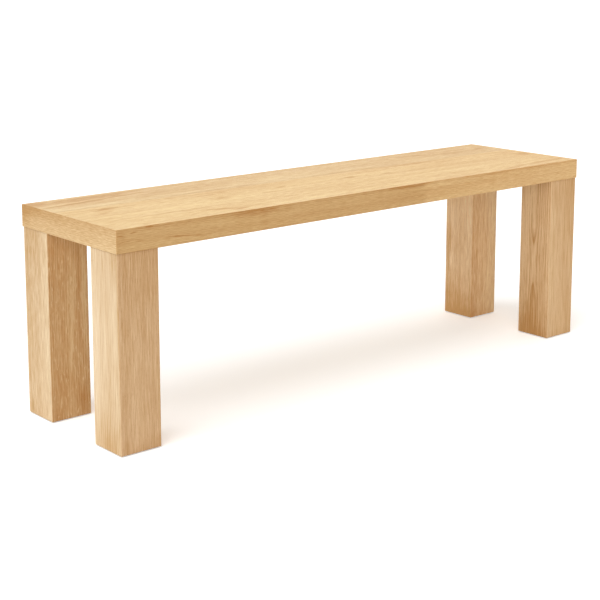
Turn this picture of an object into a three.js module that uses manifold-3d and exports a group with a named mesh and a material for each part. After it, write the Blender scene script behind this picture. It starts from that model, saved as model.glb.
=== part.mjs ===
// A backless dining bench: a hollow-core seat slab on four square hollow legs, veneered in pale oak.
// Millimetres, +Z up. The origin is on the floor under the middle of the seat, +X runs along the
// bench to its right end, and the front is -Y.
import * as THREE from "three";
import { mergeGeometries, mergeVertices } from "three/addons/utils/BufferGeometryUtils.js";
import Module from "manifold-3d";

const wasm = await Module();
wasm.setup();

// The whole bench
const BENCH_HEIGHT = 460;
const SEAT_LENGTH = 1400;
const SEAT_WIDTH = 365;

// Seat slab: two panels glued over a frame of rails with a honeycomb core, banded on all four edges
const SEAT_THICKNESS = 48;
const PANEL_THICKNESS = 8;
const EDGE_BAND_THICKNESS = 1;
const SEAT_ARRIS = 0.5;
const RAIL_WIDTH = 25;
const CROSS_RAIL_COUNT = 3;
const BLOCK_PAST_LEG = 14; // how far a corner block reaches past the leg's inner faces
const HONEYCOMB_CELL = 48; // across the flats of a cell
const HONEYCOMB_WALL = 1;

// Legs: four mitred boards round a hollow, with a block glued into each end
const LEG_SIDE = 96;
const LEG_INSET = 2; // the seat's edges overhang the legs by this
const LEG_BOARD_THICKNESS = 16;
const LEG_ARRIS = 0.8;
const LEG_TOP_BLOCK_HEIGHT = 60;
const LEG_FOOT_BLOCK_HEIGHT = 30;

// Leg fixings: a double-ended bolt, screwed into the leg's top block and into an insert in the seat
const BOLT_DIAMETER = 8;
const BOLT_POINT_LENGTH = 8;
const BOLT_DEPTH_IN_LEG = 46;
const BOLT_SHORT_OF_INSERT_END = 3;
const INSERT_WALL = 2;
const INSERT_LENGTH = 20;
const INSERT_FLANGE_DIAMETER = 18;
const INSERT_FLANGE_THICKNESS = 1.5;

// Floor glides: a plastic disc let into the foot block, with a pin
const GLIDE_DIAMETER = 30;
const GLIDE_HEAD_THICKNESS = 5;
const GLIDE_STANDS_PROUD = 2;
const GLIDE_ROUNDING = 1.5;
const GLIDE_PIN_DIAMETER = 6;
const GLIDE_PIN_LENGTH = 16;

// Clearances
const GLUE_LINE = 0.1;
const SEAT_TO_LEG_GAP = 0.3;
const HOLE_CLEARANCE = 0.3; // all round a bolt, an insert or a glide in its hole
const ROUND_SIDES = 24;

// Levels and distances worked out from the sizes above
const seatBottom = BENCH_HEIGHT - SEAT_THICKNESS;
const coreBottom = seatBottom + PANEL_THICKNESS + GLUE_LINE;
const coreHeight = SEAT_THICKNESS - 2 * (PANEL_THICKNESS + GLUE_LINE);
const coreMiddle = coreBottom + coreHeight / 2;
const panelLength = SEAT_LENGTH - 2 * (EDGE_BAND_THICKNESS + GLUE_LINE);
const panelWidth = SEAT_WIDTH - 2 * (EDGE_BAND_THICKNESS + GLUE_LINE);
const legX = SEAT_LENGTH / 2 - LEG_INSET - LEG_SIDE / 2;
const legY = SEAT_WIDTH / 2 - LEG_INSET - LEG_SIDE / 2;
const legBottom = GLIDE_STANDS_PROUD;
const legTop = seatBottom - SEAT_TO_LEG_GAP;
const legHollow = LEG_SIDE - 2 * LEG_BOARD_THICKNESS;
const blockInnerX = legX - LEG_SIDE / 2 - BLOCK_PAST_LEG;
const blockInnerY = legY - LEG_SIDE / 2 - BLOCK_PAST_LEG;
const insertRadius = BOLT_DIAMETER / 2 + HOLE_CLEARANCE + INSERT_WALL;

const oakTop = material(0xebcb9c, 0.5);
const oakEdge = material(0xcda471, 0.5);
const oakLeg = material(0xdfb987, 0.5);
const oakUnderside = material(0xcbb08a, 0.6);
const chipboard = material(0xc4a57c, 0.9);
const kraftPaper = material(0xb08d62, 0.95);
const zincSteel = material(0xb9bcc0, 0.35, 0.9);
const glidePlastic = material(0x8c7a64, 0.6);

function material(color, roughness, metalness = 0) {
  return new THREE.MeshStandardMaterial({ color, roughness, metalness });
}

function mesh(name, geometry, finish, x = 0, y = 0, z = 0) {
  const made = new THREE.Mesh(geometry, finish);
  made.name = name;
  made.position.set(x, y, z);
  return made;
}

function group(members, x = 0, y = 0, z = 0, turn = 0) {
  const made = new THREE.Group();
  made.add(...members);
  made.position.set(x, y, z);
  made.rotation.z = turn;
  return made;
}

// A closed geometry as a solid that can be cut.
function toSolid(geometry) {
  const bare = new THREE.BufferGeometry();
  bare.setAttribute("position", geometry.getAttribute("position"));
  bare.setIndex(geometry.index);
  const merged = mergeVertices(bare, 1e-4);
  const triVerts = new Uint32Array(merged.index.array);
  const vertProperties = merged.attributes.position.array;
  return new wasm.Manifold(new wasm.Mesh({ numProp: 3, vertProperties, triVerts }));
}

function toGeometry(solid) {
  const { vertProperties, triVerts } = solid.getMesh();
  const geometry = new THREE.BufferGeometry();
  geometry.setAttribute("position", new THREE.BufferAttribute(vertProperties, 3));
  geometry.setIndex(new THREE.BufferAttribute(triVerts, 1));
  geometry.computeVertexNormals();
  return geometry;
}

function cut(geometry, ...tools) {
  return toGeometry(tools.reduce((body, tool) => body.subtract(toSolid(tool)), toSolid(geometry)));
}

// An outline in X and Y, raised to a height.
function prism(points, height) {
  const outline = new THREE.Shape(points.map(([x, y]) => new THREE.Vector2(x, y)));
  return new THREE.ExtrudeGeometry(outline, { depth: height, bevelEnabled: false });
}

// A round piece on the Z axis, from [radius, height] points listed up its outside.
function turned(profile) {
  const points = profile.map(([radius, height]) => new THREE.Vector2(radius, height));
  return new THREE.LatheGeometry(points, ROUND_SIDES).rotateX(Math.PI / 2);
}

// A plain round plug that cuts a hole.
function drill(radius, bottom, top) {
  return turned([
    [0, bottom],
    [radius, bottom],
    [radius, top],
    [0, top],
  ]);
}

// Corners and legs, named as someone who faces the front of the bench names them.
const corners = [
  { name: "front_left", sideX: -1, sideY: -1 },
  { name: "front_right", sideX: 1, sideY: -1 },
  { name: "back_left", sideX: -1, sideY: 1 },
  { name: "back_right", sideX: 1, sideY: 1 },
];

// Sides of a slab or a leg, as quarter turns from the front.
const sides = ["front", "right", "back", "left"];

// Seat

function topPanel() {
  const geometry = new THREE.BoxGeometry(panelLength, panelWidth, PANEL_THICKNESS);
  return mesh("seat_top_panel", geometry, oakTop, 0, 0, BENCH_HEIGHT - PANEL_THICKNESS / 2);
}

// The bottom panel has a hole for each leg's bolt and the flange of its insert.
function bottomPanel() {
  const geometry = new THREE.BoxGeometry(panelLength, panelWidth, PANEL_THICKNESS);
  const radius = INSERT_FLANGE_DIAMETER / 2 + HOLE_CLEARANCE;
  const holes = corners.map(({ sideX, sideY }) =>
    drill(radius, -PANEL_THICKNESS, PANEL_THICKNESS).translate(sideX * legX, sideY * legY, 0),
  );
  const middle = seatBottom + PANEL_THICKNESS / 2;
  return mesh("seat_bottom_panel", cut(geometry, ...holes), oakUnderside, 0, 0, middle);
}

// A strip along a side, with its two outer arrises eased. The side's outer face is at -Y here.
function edgeBand(name, length) {
  const arris = Math.min(SEAT_ARRIS, EDGE_BAND_THICKNESS / 2);
  const section = [
    [EDGE_BAND_THICKNESS, 0],
    [EDGE_BAND_THICKNESS, SEAT_THICKNESS],
    [arris, SEAT_THICKNESS],
    [0, SEAT_THICKNESS - arris],
    [0, arris],
    [arris, 0],
  ];
  const alongX = new THREE.Matrix4().makeBasis(
    new THREE.Vector3(0, 1, 0),
    new THREE.Vector3(0, 0, 1),
    new THREE.Vector3(1, 0, 0),
  );
  const geometry = prism(section, length).applyMatrix4(alongX);
  return mesh(`seat_${name}_edge_band`, geometry, oakEdge, -length / 2, 0, seatBottom);
}

// The front and back bands run the whole length and cover the ends of the other two.
function edgeBands() {
  return sides.map((side, quarter) => {
    const alongEnd = quarter % 2 === 1;
    const band = edgeBand(side, alongEnd ? panelWidth : SEAT_LENGTH);
    band.position.y = -(alongEnd ? SEAT_LENGTH : SEAT_WIDTH) / 2;
    return group([band], 0, 0, 0, (quarter * Math.PI) / 2);
  });
}

// The blocks fill the slab's corners over the legs, and each holds an insert in a blind hole.
function cornerBlock({ name, sideX, sideY }) {
  const sizeX = panelLength / 2 - blockInnerX;
  const sizeY = panelWidth / 2 - blockInnerY;
  const centreX = blockInnerX + sizeX / 2;
  const centreY = blockInnerY + sizeY / 2;
  const top = INSERT_LENGTH + HOLE_CLEARANCE - coreHeight / 2;
  const hole = drill(insertRadius + HOLE_CLEARANCE, -coreHeight, top);
  hole.translate(sideX * (legX - centreX), sideY * (legY - centreY), 0);
  const geometry = cut(new THREE.BoxGeometry(sizeX, sizeY, coreHeight), hole);
  return mesh(`seat_${name}_corner_block`, geometry, chipboard, sideX * centreX, sideY * centreY, coreMiddle);
}

function rail(name, length, width, x, y) {
  const geometry = new THREE.BoxGeometry(length, width, coreHeight);
  return mesh(`seat_${name}_rail`, geometry, chipboard, x, y, coreMiddle);
}

// Long and end rails run between the corner blocks, flush with the panels' edges.
function outerRails() {
  const longLength = 2 * (blockInnerX - GLUE_LINE);
  const endLength = 2 * (blockInnerY - GLUE_LINE);
  const y = (panelWidth - RAIL_WIDTH) / 2;
  const x = (panelLength - RAIL_WIDTH) / 2;
  return [
    rail("front", longLength, RAIL_WIDTH, 0, -y),
    rail("back", longLength, RAIL_WIDTH, 0, y),
    rail("left_end", RAIL_WIDTH, endLength, -x, 0),
    rail("right_end", RAIL_WIDTH, endLength, x, 0),
  ];
}

// Cross rails divide the length evenly.
const bayCount = CROSS_RAIL_COUNT + 1;
const bayPitch = (panelLength - RAIL_WIDTH) / bayCount;
const bayWidth = panelWidth - 2 * (RAIL_WIDTH + GLUE_LINE);

function crossRails() {
  return Array.from({ length: CROSS_RAIL_COUNT }, (_, i) => {
    const x = (i - (CROSS_RAIL_COUNT - 1) / 2) * bayPitch;
    return rail(`cross_${i + 1}`, RAIL_WIDTH, bayWidth, x, 0);
  });
}

// Hexagonal openings of a honeycomb, as one geometry that covers a length and a width.
function honeycombCells(length, width) {
  const cornerRadius = HONEYCOMB_CELL / Math.sqrt(3);
  const hexagon = Array.from({ length: 6 }, (_, i) => [
    cornerRadius * Math.sin((i * Math.PI) / 3),
    -cornerRadius * Math.cos((i * Math.PI) / 3),
  ]);
  const cell = prism(hexagon, 2 * coreHeight).translate(0, 0, -coreHeight);
  const pitchX = HONEYCOMB_CELL + HONEYCOMB_WALL;
  const pitchY = (pitchX * Math.sqrt(3)) / 2;
  const rows = Math.ceil(width / 2 / pitchY);
  const columns = Math.ceil(length / 2 / pitchX);
  const cells = [];
  for (let row = -rows; row <= rows; row++) {
    const shift = row % 2 === 0 ? 0 : pitchX / 2;
    for (let column = -columns - 1; column <= columns; column++) {
      cells.push(cell.clone().translate(column * pitchX + shift, row * pitchY, 0));
    }
  }
  return mergeGeometries(cells);
}

// One bay's core: the bay's outline, less the corner blocks that stand in it, cut into cells.
function honeycombCore(index) {
  const length = bayPitch - RAIL_WIDTH - 2 * GLUE_LINE;
  const centre = (index - (bayCount - 1) / 2) * bayPitch;
  const blocks = corners.map(({ sideX, sideY }) => {
    const keepOut = new THREE.BoxGeometry(SEAT_LENGTH, SEAT_WIDTH, 2 * coreHeight);
    const x = blockInnerX - GLUE_LINE + SEAT_LENGTH / 2;
    const y = blockInnerY - GLUE_LINE + SEAT_WIDTH / 2;
    return keepOut.translate(sideX * x - centre, sideY * y, 0);
  });
  const bay = new THREE.BoxGeometry(length, bayWidth, coreHeight);
  const lattice = toSolid(cut(bay, ...blocks, honeycombCells(length, bayWidth)));
  const largest = lattice.decompose().sort((a, b) => b.volume() - a.volume())[0];
  return mesh(`seat_honeycomb_core_${index + 1}`, toGeometry(largest), kraftPaper, centre, 0, coreMiddle);
}

function honeycombCores() {
  return Array.from({ length: bayCount }, (_, index) => honeycombCore(index));
}

// Legs

// The board on a leg's front: its ends are mitred, and the arrises that it shares are eased.
function legBoard() {
  const outer = LEG_SIDE / 2;
  const inner = legHollow / 2;
  const setBack = GLUE_LINE / Math.SQRT2;
  const tipX = outer - (LEG_ARRIS + setBack) / 2;
  const tipY = outer - (LEG_ARRIS - setBack) / 2;
  const section = [
    [LEG_ARRIS - outer, -outer],
    [outer - LEG_ARRIS, -outer],
    [tipX, -tipY],
    [inner - setBack, -inner],
    [setBack - inner, -inner],
    [-tipX, -tipY],
  ];
  return prism(section, legTop - legBottom);
}

function legBoards(leg) {
  return sides.map((side, quarter) => {
    const board = mesh(`${leg}_leg_${side}_board`, legBoard(), oakLeg, 0, 0, legBottom);
    return group([board], 0, 0, 0, (quarter * Math.PI) / 2);
  });
}

function blockInLeg(height) {
  const side = legHollow - 2 * GLUE_LINE;
  return new THREE.BoxGeometry(side, side, height).translate(0, 0, height / 2);
}

function legTopBlock(leg) {
  const depth = BOLT_DEPTH_IN_LEG + HOLE_CLEARANCE;
  const radius = BOLT_DIAMETER / 2 + HOLE_CLEARANCE;
  const hole = drill(radius, LEG_TOP_BLOCK_HEIGHT - depth, 2 * LEG_TOP_BLOCK_HEIGHT);
  const geometry = cut(blockInLeg(LEG_TOP_BLOCK_HEIGHT), hole);
  return mesh(`${leg}_leg_top_block`, geometry, chipboard, 0, 0, legTop - LEG_TOP_BLOCK_HEIGHT);
}

// The glide's outline, grown by a clearance to give the hole that it sits in.
function glideProfile(clearance, bottom) {
  const head = GLIDE_DIAMETER / 2 + clearance;
  const pin = GLIDE_PIN_DIAMETER / 2 + clearance;
  const headTop = GLIDE_HEAD_THICKNESS + clearance;
  const pinTop = GLIDE_HEAD_THICKNESS + GLIDE_PIN_LENGTH + clearance;
  return [
    ...bottom,
    [head, headTop],
    [pin, headTop],
    [pin, pinTop - pin],
    [0, pinTop],
  ];
}

function legFootBlock(leg) {
  const head = GLIDE_DIAMETER / 2 + HOLE_CLEARANCE;
  const below = -LEG_FOOT_BLOCK_HEIGHT;
  const hole = turned(glideProfile(HOLE_CLEARANCE, [[0, below], [head, below]]));
  hole.translate(0, 0, -GLIDE_STANDS_PROUD);
  const geometry = cut(blockInLeg(LEG_FOOT_BLOCK_HEIGHT), hole);
  return mesh(`${leg}_leg_foot_block`, geometry, chipboard, 0, 0, legBottom);
}

function glide(leg) {
  const radius = GLIDE_DIAMETER / 2;
  const bottom = [
    [0, 0],
    [radius - GLIDE_ROUNDING, 0],
    [radius, GLIDE_ROUNDING],
  ];
  return mesh(`${leg}_glide`, turned(glideProfile(0, bottom)), glidePlastic);
}

// The bolt stands on the leg's axis, from its point in the top block to its end in the insert.
function legBolt(leg) {
  const radius = BOLT_DIAMETER / 2;
  const bottom = legTop - BOLT_DEPTH_IN_LEG;
  const top = coreBottom + INSERT_LENGTH - BOLT_SHORT_OF_INSERT_END;
  const chamfer = radius / 4;
  const geometry = turned([
    [0, bottom],
    [radius, bottom + BOLT_POINT_LENGTH],
    [radius, top - chamfer],
    [radius - chamfer, top],
    [0, top],
  ]);
  return mesh(`${leg}_leg_bolt`, geometry, zincSteel);
}

// A threaded sleeve in the corner block, whose flange lies in the bottom panel's hole.
function legInsert(leg) {
  const bore = BOLT_DIAMETER / 2 + HOLE_CLEARANCE;
  const flange = INSERT_FLANGE_DIAMETER / 2;
  const flangeTop = -GLUE_LINE;
  const flangeBottom = flangeTop - INSERT_FLANGE_THICKNESS;
  const geometry = turned([
    [bore, flangeBottom],
    [flange, flangeBottom],
    [flange, flangeTop],
    [insertRadius, flangeTop],
    [insertRadius, INSERT_LENGTH],
    [bore, INSERT_LENGTH],
    [bore, flangeBottom],
  ]);
  return mesh(`${leg}_leg_insert`, geometry, zincSteel, 0, 0, coreBottom);
}

function leg({ name, sideX, sideY }) {
  const members = [
    ...legBoards(name),
    legTopBlock(name),
    legFootBlock(name),
    glide(name),
    legBolt(name),
    legInsert(name),
  ];
  return group(members, sideX * legX, sideY * legY);
}

const seat = group([
  topPanel(),
  bottomPanel(),
  ...edgeBands(),
  ...corners.map(cornerBlock),
  ...outerRails(),
  ...crossRails(),
  ...honeycombCores(),
]);

const bench = group([seat, ...corners.map(leg)]);
bench.name = "backless_bench";

export default bench;
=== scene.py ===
"""The looks of a backless oak bench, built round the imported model. Metres, +Z up, the front at -Y."""
import math
import random

import bmesh
import bpy
from mathutils import Matrix, Vector


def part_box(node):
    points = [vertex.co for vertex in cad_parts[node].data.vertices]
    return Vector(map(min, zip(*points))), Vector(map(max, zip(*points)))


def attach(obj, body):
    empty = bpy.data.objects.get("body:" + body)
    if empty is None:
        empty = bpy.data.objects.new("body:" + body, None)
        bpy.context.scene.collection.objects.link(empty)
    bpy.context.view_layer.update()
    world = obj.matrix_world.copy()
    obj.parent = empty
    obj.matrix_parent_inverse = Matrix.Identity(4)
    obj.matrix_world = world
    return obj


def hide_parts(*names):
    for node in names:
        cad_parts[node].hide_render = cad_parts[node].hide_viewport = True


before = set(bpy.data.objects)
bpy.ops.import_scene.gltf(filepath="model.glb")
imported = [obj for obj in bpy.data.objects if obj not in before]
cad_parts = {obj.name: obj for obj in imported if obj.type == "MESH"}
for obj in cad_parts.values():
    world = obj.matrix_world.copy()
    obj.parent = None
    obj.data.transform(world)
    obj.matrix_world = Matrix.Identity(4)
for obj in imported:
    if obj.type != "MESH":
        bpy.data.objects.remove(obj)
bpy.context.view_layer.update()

MM = 0.001

# Camera. The real one stood level with its lens shifted; this one tilts a little and shifts less,
# so that the bench also stays in the frame when another view moves the camera and keeps its shift.
CAMERA_PLACE = (-2.117, -2.389, 0.995)  # metres
CAMERA_HEADING = 40.45  # degrees from +Y towards +X
CAMERA_TILT = 9.54  # degrees down
CAMERA_SENSOR = 36.0  # millimetres
CAMERA_LENS = 82.82  # millimetres
CAMERA_SHIFT = -0.2  # share of the frame

# Light, as the share of a colour's own value that each source gives a surface that faces it
SKY_LEVEL = 0.42
SKY_COLOR = (1.03, 1.0, 0.95, 1.0)
KEY_LEVEL = 0.55
KEY_COLOR = (0.96, 1.0, 1.05)
KEY_DIRECTION = (-0.52, -0.1, 0.85)
KEY_SPREAD = 50.0  # degrees
FILL_LEVEL = 0.46
FILL_COLOR = (1.1, 1.0, 0.86)
FILL_DIRECTION = (-0.7, -0.68, 0.12)
FILL_SPREAD = 60.0  # degrees
BACK_LEVEL = 0.32
BACK_COLOR = (1.1, 1.0, 0.86)
BACK_DIRECTION = (0.75, 0.62, 0.15)
BACK_SPREAD = 60.0  # degrees
LAMP_DISTANCE = 3.0  # metres; only the direction matters
FLOOR_COLOR = (0.66, 0.6, 0.51)
FLOOR_SEEN_COLOR = (0.97, 0.97, 0.97)
FLOOR_SEEN_LIFT = 0.32  # light of its own that lets it show as white
FLOOR_SIZE = 60.0  # metres

# Sizes of details that the CAD leaves plain
SEAT_ARRIS = 0.6 * MM
SEAT_TOP_ARRIS = 0.02 * MM
LEG_ARRIS = 0.8 * MM
VENEER = 0.6 * MM
ARC_STEPS = 3  # in the quarter turn or half of it that rounds an arris
SHARP_ANGLE = 35  # degrees between two faces, from which their edge is sharp
GLIDE_ROUNDING = 1.5 * MM
GLIDE_ROUNDING_STEPS = 4
GLIDE_HOLLOW = 0.4 * MM
GLIDE_HOLLOW_FLOOR = 0.72  # share of the flat rim's radius up to which the hollow has its full depth
GLIDE_HOLLOW_EDGE = 0.76  # the share at which the hollow ends
GLIDE_PIN_RADIUS = 3.0 * MM
GLIDE_HEAD_HEIGHT = 5.0 * MM
TURNED_SIDES = 64

# Darker oak is also browner: how much of a change of tone each channel gets
HUE = (0.56, 1.02, 1.56)
SOFT_HUE = (0.6, 0.95, 1.54)
PLAIN_CONTRAST = 0.38  # how far a veneer's light and dark ends lie from its mean, as powers of e

# The parts of the oak's pattern, with their features to the metre: along the grain, across it and
# in depth. Those of the years run over the radius of the rings and over their count.
OAK_RATES = {
    "wander": (1.5, 6, 6),
    "waver": (11, 40, 40),
    "year widths": (60, 1, 1),
    "year strengths": (0.4, 1, 1),
    "streaks": (1.3, 75, 1),
    "clouds": (3, 13, 13),
    "fibres": (14, 2400, 1),
    "flakes": (38, 330, 1),
    "pores": (95, 2200, 1),
    "yellow": (4, 18, 18),
}
RING_WANDER = 0.024  # metres
RING_WAVER = 0.004  # metres
YEAR_WIDTH_CHANGE = 1.6  # years
YEAR_TONES = ((0, 0.15), (0.07, 1), (0.3, 0.55), (0.7, 0.05), (1, 0.15))  # (share of a year, darkness)
MIDDLE_YEAR_TONE = 0.4  # what leaves the sheet's mean tone as it is
YEAR_STRENGTHS = (0.35, 0.65, 0.3, 1.2)  # the span of the noise, then the span of the strength
FLAKE_DISTORTION = 0.8
FLAKE_SPAN = (0.56, 0.7)  # of the noise, from no flake to a full one
PORE_SPAN = (0.52, 0.64)
PORES_EARLY, PORES_ALWAYS = 0.85, 0.15  # early wood has most of them
MIDDLE_TONE = 0.5  # half way from the dark end of the colours to the light one
FIBRE_TONE = 0.45
YELLOW_TINT = (0.99, 0.97, 0.72, 1)
PORE_TINT = (0.66, 0.47, 0.34, 1)
OAK_ROUGHNESS, FIBRE_ROUGHNESS, PORE_ROUGHNESS = 0.52, 0.15, 0.12
FIBRE_HEIGHT, PORE_HEIGHT = 0.3, -1.0
OAK_RELIEF = 0.05 * MM
OAK_IOR = 1.45
OAK_SPECULAR = 0.25

# How the fibres feather the edge of a mark and part it into strands, and where leaves of veneer meet
MARK_DRIFT, MARK_DRIFT_RATE = 0.03, (30, 300, 1)  # metres along the grain, features to the metre
MARK_SWAY, MARK_SWAY_RATE = 0.008, (12, 160, 1)  # the same across the grain
MARK_CORE = 0.1  # share of a mark's half size that has its full strength
STRAND_RATE = (7, 330, 1)
STRANDS = (0.3, 0.7, 0.5, 1.3)  # the span of the noise, then the span of the strength
LEAF_STEP = (0.71, 0.37, 0.53)  # from one leaf's place in the log to the next one's, metres
FADE_RATE = (8, 260, 1)
FADE_FEATHER = 4  # times the fade's reach

MOST_NOISE = (0.2, 0.8)  # between which nearly all of a noise lies
CHANCE_SEED = 7

X, Y, Z = Vector((1, 0, 0)), Vector((0, 1, 0)), Vector((0, 0, 1))
CORNERS = ("front_left", "front_right", "back_left", "back_right")
SIDES = {"front": -Y, "right": X, "back": Y, "left": -X}


# Boards

def half_section(half_width, thickness, arris, mitred, inset):
    """One side of a board's section, as (across, out) points from the shown face to the back.

    The shown face lies at out = 0. Its outer corner is an arc, of which a mitred board has half.
    inset pulls the shown surfaces in, for the rounding at the board's ends.
    """
    centre = half_width - arris
    radius = arris - inset
    turn = math.radians(45 if mitred else 90)
    arc = [turn * i / ARC_STEPS for i in range(ARC_STEPS + 1)]
    points = [(centre + radius * math.sin(a), radius * math.cos(a) - arris) for a in arc]
    if mitred:
        points.append((half_width - VENEER, -VENEER))
        points.append((half_width - thickness, -thickness))
    else:
        points.append((half_width - inset, -thickness))
    return points


def end_stations(length, arris, eased):
    """(place along the board, inset) of each section."""
    if not eased:
        return [(-length / 2, 0.0), (length / 2, 0.0)]
    turns = [math.radians(90 * i / ARC_STEPS) for i in range(ARC_STEPS + 1)]
    rounding = [(arris * (1 - math.sin(a)), arris * (1 - math.cos(a))) for a in turns]
    near = [(-length / 2 + along, inset) for along, inset in reversed(rounding)]
    far = [(length / 2 - along, inset) for along, inset in rounding]
    return near + far


def board_mesh(name, length, width, thickness, arris, mitred=False, ends_eased=True):
    """A board that lies along X with its shown face up, at Z = 0. Slot 0 is the face, slot 1 the core."""
    mesh = bpy.data.meshes.new(name)
    bm = bmesh.new()
    rings = []
    for along, inset in end_stations(length, arris, ends_eased):
        side = half_section(width / 2, thickness, arris, mitred, inset)
        outline = [(-y, z) for y, z in reversed(side)] + side
        rings.append([bm.verts.new((along, y, z)) for y, z in outline])
    count = len(rings[0])
    core = {0, count - 2, count - 1} if mitred else {count - 1}
    for a, b in zip(rings, rings[1:]):
        for i in range(count):
            j = (i + 1) % count
            face = bm.faces.new((a[i], b[i], b[j], a[j]))
            face.material_index = 1 if i in core else 0
    for ring, flip in ((rings[0], False), (rings[-1], True)):
        strip, rest = ring[1:-1], [ring[0], ring[1], ring[-2], ring[-1]]
        for loop, slot in ((strip, 0), (rest, 1)) if mitred else ((ring, 1),):
            face = bm.faces.new(list(reversed(loop)) if flip else loop)
            face.material_index = slot
    bmesh.ops.recalc_face_normals(bm, faces=bm.faces)
    smooth_but_for_sharp_edges(bm)
    bm.to_mesh(mesh)
    bm.free()
    return mesh


def turned_mesh(name, outline):
    """A piece turned round Z. The outline runs from the axis back to the axis, as (radius, height)."""
    mesh = bpy.data.meshes.new(name)
    bm = bmesh.new()
    turns = [2 * math.pi * i / TURNED_SIDES for i in range(TURNED_SIDES)]
    rings = []
    for radius, height in outline:
        ring = [(radius * math.cos(a), radius * math.sin(a), height) for a in turns]
        if radius == 0:
            ring = [(0, 0, height)]
        rings.append([bm.verts.new(point) for point in ring])
    for a, b in zip(rings, rings[1:]):
        for i in range(TURNED_SIDES):
            j = (i + 1) % TURNED_SIDES
            corners = [a[i % len(a)], a[j % len(a)], b[j % len(b)], b[i % len(b)]]
            bm.faces.new(list(dict.fromkeys(corners)))
    bmesh.ops.recalc_face_normals(bm, faces=bm.faces)
    smooth_but_for_sharp_edges(bm)
    bm.to_mesh(mesh)
    bm.free()
    return mesh


def smooth_but_for_sharp_edges(bm):
    for face in bm.faces:
        face.smooth = True
    for edge in bm.edges:
        edge.smooth = edge.is_manifold and edge.calc_face_angle(0.0) < math.radians(SHARP_ANGLE)


def show(name, mesh, materials, matrix, slot, *nodes):
    """Places a piece, gives it its finish and lets it stand for its CAD nodes."""
    piece = bpy.data.objects.new(name, mesh)
    bpy.context.scene.collection.objects.link(piece)
    for material in materials:
        mesh.materials.append(material)
    piece.matrix_world = matrix
    weighted = piece.modifiers.new("flat faces stay flat", "WEIGHTED_NORMAL")
    weighted.keep_sharp = True
    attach(piece, "root")
    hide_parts(*nodes)


def lying(place, along, out):
    """The matrix that lays a board's X along one direction and its shown face out in another."""
    rotation = Matrix((along, out.cross(along), out)).transposed().to_4x4()
    return Matrix.Translation(place) @ rotation


# Materials

class Nodes:
    """Adds nodes to a tree. An input may be a number, a tuple or another node's socket."""

    # A mix node has sockets of the same names for numbers and vectors before these, for colours
    MIX_A, MIX_B, MIX_RESULT = 6, 7, 2

    def __init__(self, tree):
        self.tree = tree
        tree.nodes.clear()

    def add(self, kind, inputs=None, **settings):
        node = self.tree.nodes.new(kind)
        for key, value in settings.items():
            setattr(node, key, value)
        for key, value in (inputs or {}).items():
            self.join(value, node.inputs[key])
        return node

    def join(self, value, socket):
        if isinstance(value, bpy.types.NodeSocket):
            self.tree.links.new(value, socket)
        else:
            socket.default_value = value

    def math(self, operation, *values, clamp=False):
        inputs = dict(enumerate(values))
        return self.add("ShaderNodeMath", inputs, operation=operation, use_clamp=clamp).outputs[0]

    def vector(self, operation, *values):
        inputs = dict(enumerate(values))
        return self.add("ShaderNodeVectorMath", inputs, operation=operation).outputs[0]

    def combine(self, x, y, z):
        return self.add("ShaderNodeCombineXYZ", {0: x, 1: y, 2: z}).outputs[0]

    def noise(self, where, per_metre, detail=2.0, roughness=0.5, distortion=0.0):
        """Smooth noise, about 0 to 1, with its own count of features to the metre each way."""
        stretched = self.vector("MULTIPLY", where, per_metre)
        inputs = {"Vector": stretched, "Scale": 1.0, "Detail": detail}
        inputs |= {"Roughness": roughness, "Distortion": distortion}
        return self.add("ShaderNodeTexNoise", inputs).outputs["Fac"]

    def centred_noise(self, where, per_metre, detail, amount):
        """Noise about zero that spans about the amount."""
        centred = self.math("SUBTRACT", self.noise(where, per_metre, detail), 0.5)
        return self.math("MULTIPLY", centred, amount)

    def dot(self, a, b):
        return self.add("ShaderNodeVectorMath", {0: a, 1: b}, operation="DOT_PRODUCT").outputs["Value"]

    def rescale(self, value, low, high, to_low=0.0, to_high=1.0, smooth=False):
        inputs = {"Value": value, "From Min": low, "From Max": high}
        inputs |= {"To Min": to_low, "To Max": to_high}
        kind = "SMOOTHSTEP" if smooth else "LINEAR"
        return self.add("ShaderNodeMapRange", inputs, interpolation_type=kind).outputs[0]

    def ramp(self, value, stops):
        node = self.add("ShaderNodeValToRGB", {"Fac": value})
        elements = node.color_ramp.elements
        while len(elements) < len(stops):
            elements.new(0.5)
        for element, (position, shade) in zip(elements, stops):
            element.position = position
            element.color = (shade, shade, shade, 1)
        return node.outputs["Color"]

    def mix(self, factor, a, b, blend="MIX"):
        node = self.add("ShaderNodeMix", data_type="RGBA", blend_type=blend, clamp_factor=True)
        self.join(factor, node.inputs["Factor"])
        self.join(a, node.inputs[self.MIX_A])
        self.join(b, node.inputs[self.MIX_B])
        return node.outputs[self.MIX_RESULT]


def new_material(name):
    material = bpy.data.materials.new(name)
    material.use_nodes = True
    return material, Nodes(material.node_tree)


def finish_material(nodes, color, roughness, height, relief, **constants):
    """Joins a colour, a roughness and a height to a surface.

    relief is how high a height of 1 stands, in metres. constants are values for other sockets of
    the shader.
    """
    bump = nodes.add("ShaderNodeBump", {"Height": height, "Distance": relief, "Strength": 1.0})
    inputs = {"Base Color": color, "Roughness": roughness, "Normal": bump.outputs["Normal"]}
    inputs |= {key.replace("_", " "): value for key, value in constants.items()}
    surface = nodes.add("ShaderNodeBsdfPrincipled", inputs)
    nodes.add("ShaderNodeOutputMaterial", {"Surface": surface.outputs["BSDF"]})


def color4(rgb):
    """A colour with its alpha."""
    return (*rgb, 1.0)


def srgb(red, green, blue):
    """A colour written as 0 to 255, as the shader wants it."""
    def linear(v):
        v /= 255
        return v / 12.92 if v <= 0.04045 else ((v + 0.055) / 1.055) ** 2.4
    return color4((linear(red), linear(green), linear(blue)))


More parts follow.
